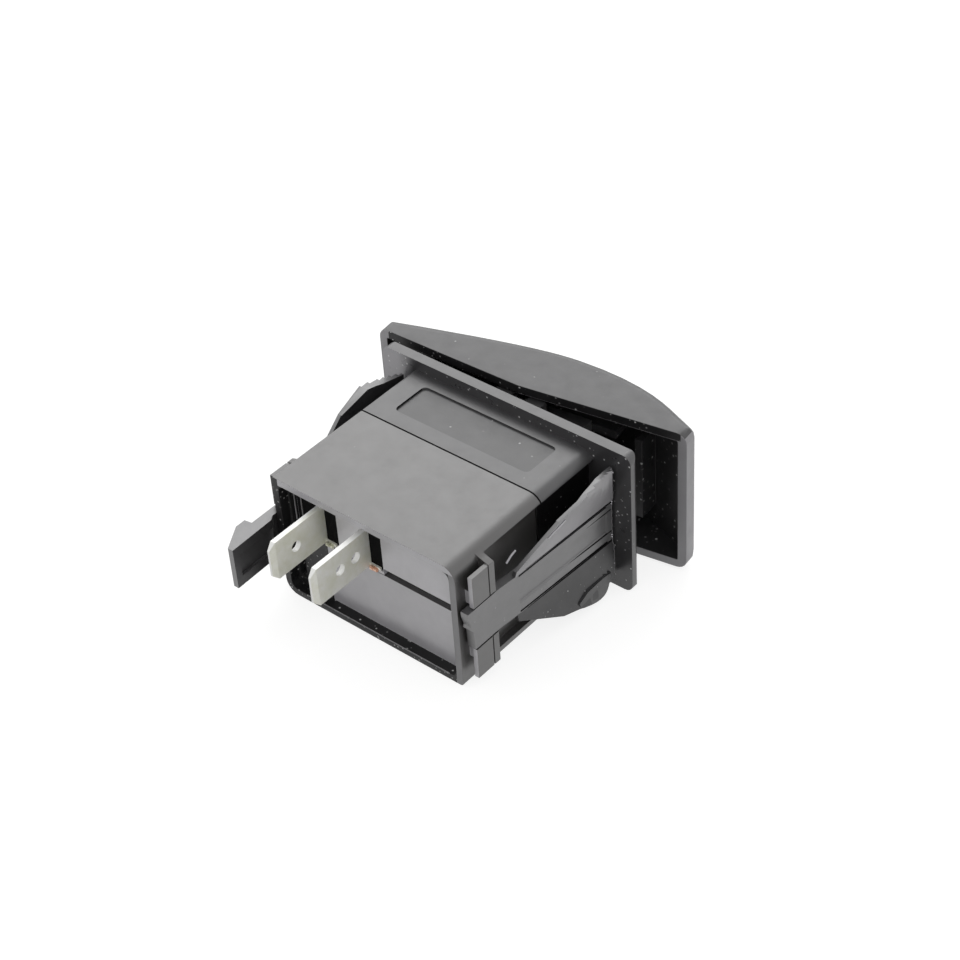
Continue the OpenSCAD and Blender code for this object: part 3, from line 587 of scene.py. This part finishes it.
def clip_marks(clip, s):
    """The painted shade in the grooves of the clip on the side s of X, and a painted highlight with painted
    glints along its edge where it meets the bezel.
    """
    body, slot = BODY_OF[clip], SLOT_OF[clip]
    for z, (r, near, far) in GROOVE_SHADES.items():
        ends = [(s * x, y, z) for x, y in (near, far)]
        # a black bead of painted shade along a groove
        thread("%s_groove_%d" % (clip, round(z)), ends, r, body, "painted_shade_black")
    solid = frame["nodes"][clip].data
    shell = BVHTree.FromPolygons([v.co for v in solid.vertices], [p.vertices for p in solid.polygons])
    line = []
    for k in range(HIGHLIGHT_POINTS):
        z = HIGHLIGHT_TOP - k * HIGHLIGHT_STEP
        outside = Vector((s * 30, 0.5, z)) * MM
        hit = shell.ray_cast(outside, Vector((-s, 0, 0)))[0]
        if hit:
            wavers = 0.3 if k % 3 == 1 else 0.42
            line.append((hit.x / MM + s * 0.03, wavers, z))
    # a light grey bead: a painted highlight along the edge
    thread(clip + "_edge_highlight", line, 0.045, body, "line")
    for k in GLINT_DOTS:
        x, y, z = line[min(k, len(line) - 1)]
        dot = [(x, y, z), (x + s * 0.05, y + 0.1, z - 0.12)]
        thread("%s_dot_%d" % (clip, k), dot, 0.13, body, "painted_glint")


# The lower wing's outline near the bezel as the photograph shows it, on Y and Z
HEEL = [(9.6, -8.3), (9.3, -9.5), (8.0, -10.15), (6.6, -10.7), (5.6, -11.0), (4.75, -11.1), (4.0, -11.05),
        (3.4, -10.8), (2.95, -10.3), (2.65, -9.7), (2.3, -8.7), (2.1, -7.6), (4.0, -7.3), (7.5, -7.4)]
HEEL_X = (-20.4, -19.6)
# Painted glints and a painted highlight that the photograph shows: the upper wing's edge, the body's side and
# the lower rim
WING_GLINT = [(-19.68, 14.6, 6.95), (-19.8, 13.4, 7.42), (-19.96, 12.6, 7.74), (-20.13, 11.4, 8.2)]
WALL_GLINT = [(-16.36, 19.6, 4.4), (-16.36, 18.6, 5.0), (-16.36, 17.6, 5.3)]
RIM_HIGHLIGHT = [(x, BODY_DEPTH - 0.02, -SHROUD_Z - 0.02) for x in (-14, 12)]


def left_side():
    """What only the clip and the wall at -X show: a lower wing heel in painted shade and two painted glints.
    """
    body, slot = BODY_OF["left_snap_clip"], SLOT_OF["left_snap_clip"]
    plate("left_wing_heel", HEEL, *HEEL_X, body, "low_plastic", slot)
    thread("wing_glint", WING_GLINT, 0.09, body, "painted_glint")
    thread("wall_glint", WALL_GLINT, 0.16, HOUSING, "painted_glint")


tab_foot("centre", CENTRE_TAB_X, "lance_copper")
tab_foot("end", CENTRE_TAB_X + TAB_PITCH, "lance_tin")
end_bay()
clip_marks("left_snap_clip", -1)
clip_marks("right_snap_clip", 1)
left_side()
# a light grey bead: a painted highlight along the lower rim
thread("rim_highlight", RIM_HIGHLIGHT, 0.07, HOUSING, "line")


# ---------------------------------------------------------------- floor, lights and camera

def seen_or_mirrored(nodes, links):
    """1 where the camera or a glossy reflection looks, 0 for light that falls on the part."""
    path = nodes.new("ShaderNodeLightPath")
    return combined(nodes, links, "MAXIMUM", path.outputs["Is Camera Ray"], path.outputs["Is Glossy Ray"])


def floor():
    """A white floor that takes shadows. It touches the bezel's lower edge and the body's rear one."""
    bm = bmesh.new()
    bmesh.ops.create_grid(bm, x_segments=1, y_segments=1, size=1.5)
    mesh = bpy.data.meshes.new("floor")
    bm.to_mesh(mesh)
    bm.free()
    obj = bpy.data.objects.new("floor", mesh)
    scene.collection.objects.link(obj)
    slope = Matrix.Rotation(math.atan2(BEZEL_HALF - BODY_HALF, BODY_DEPTH), 4, "X")
    obj.matrix_world = Matrix.Translation((0, 0, -BEZEL_HALF * MM)) @ slope
    mat, nodes, links, shader = new_material("floor")
    nodes.remove(shader)
    diffuse = nodes.new("ShaderNodeBsdfDiffuse")
    diffuse.inputs["Color"].default_value = (0.3, 0.3, 0.298, 1.0)
    glow = nodes.new("ShaderNodeEmission")
    level = nodes.new("ShaderNodeMath")
    level.operation = "MULTIPLY"
    level.inputs[1].default_value = 0.82
    links.new(seen_or_mirrored(nodes, links), level.inputs[0])
    links.new(level.outputs["Value"], glow.inputs["Strength"])
    total = nodes.new("ShaderNodeAddShader")
    links.new(diffuse.outputs["BSDF"], total.inputs[0])
    links.new(glow.outputs["Emission"], total.inputs[1])
    links.new(total.outputs["Shader"], nodes["Material Output"].inputs["Surface"])
    mesh.materials.append(mat)


def world():
    """White all round, a little dimmer as light than as seen."""
    studio = bpy.data.worlds.new("studio")
    scene.world = studio
    studio.use_nodes = True
    nodes, links = studio.node_tree.nodes, studio.node_tree.links
    back = nodes["Background"]
    back.inputs["Color"].default_value = (1.0, 1.0, 1.0, 1.0)
    level = nodes.new("ShaderNodeMapRange")
    level.inputs["To Min"].default_value = 0.75
    level.inputs["To Max"].default_value = 1.0
    links.new(seen_or_mirrored(nodes, links), level.inputs["Value"])
    links.new(level.outputs["Result"], back.inputs["Strength"])


def softbox(name, place, target, size, power):
    """A square lamp that faces a target, in metres and watts."""
    light = bpy.data.lights.new(name, "AREA")
    light.size = size
    light.energy = power
    obj = bpy.data.objects.new(name, light)
    scene.collection.objects.link(obj)
    obj.location = place
    obj.rotation_euler = (Vector(target) - Vector(place)).to_track_quat("-Z", "Y").to_euler()


# The photograph's viewpoint: where it looks, in degrees, its place and lens in millimetres
AZIMUTH, ELEVATION, ROLL = 42.411, 39.575, -4.165
VIEWPOINT = (-162.09, 183.09, 200.10)
LENS, SENSOR = 82.8883, 36.0


def camera():
    """The camera at the photograph's viewpoint."""
    az, el, roll = math.radians(AZIMUTH), math.radians(ELEVATION), math.radians(ROLL)
    ahead = Vector((math.sin(az) * math.cos(el), -math.cos(az) * math.cos(el), -math.sin(el)))
    right = Vector((-math.cos(az), -math.sin(az), 0.0))
    up = right.cross(ahead)
    side = math.cos(roll) * right + math.sin(roll) * up
    top = -math.sin(roll) * right + math.cos(roll) * up
    cam = bpy.data.cameras.new("camera")
    cam.sensor_width = SENSOR
    cam.lens = LENS
    cam.clip_start = 0.01
    cam.clip_end = 10.0
    obj = bpy.data.objects.new("camera", cam)
    scene.collection.objects.link(obj)
    turn = Matrix((side, top, -ahead)).transposed().to_4x4()
    obj.matrix_world = Matrix.Translation(Vector(VIEWPOINT) * MM) @ turn
    scene.camera = obj


floor()
world()
softbox("key", place=(0.41, -0.455, 0.506), target=(0, 0.01, 0), size=0.8, power=3.0)
camera()

scene.view_settings.view_transform = "Standard"
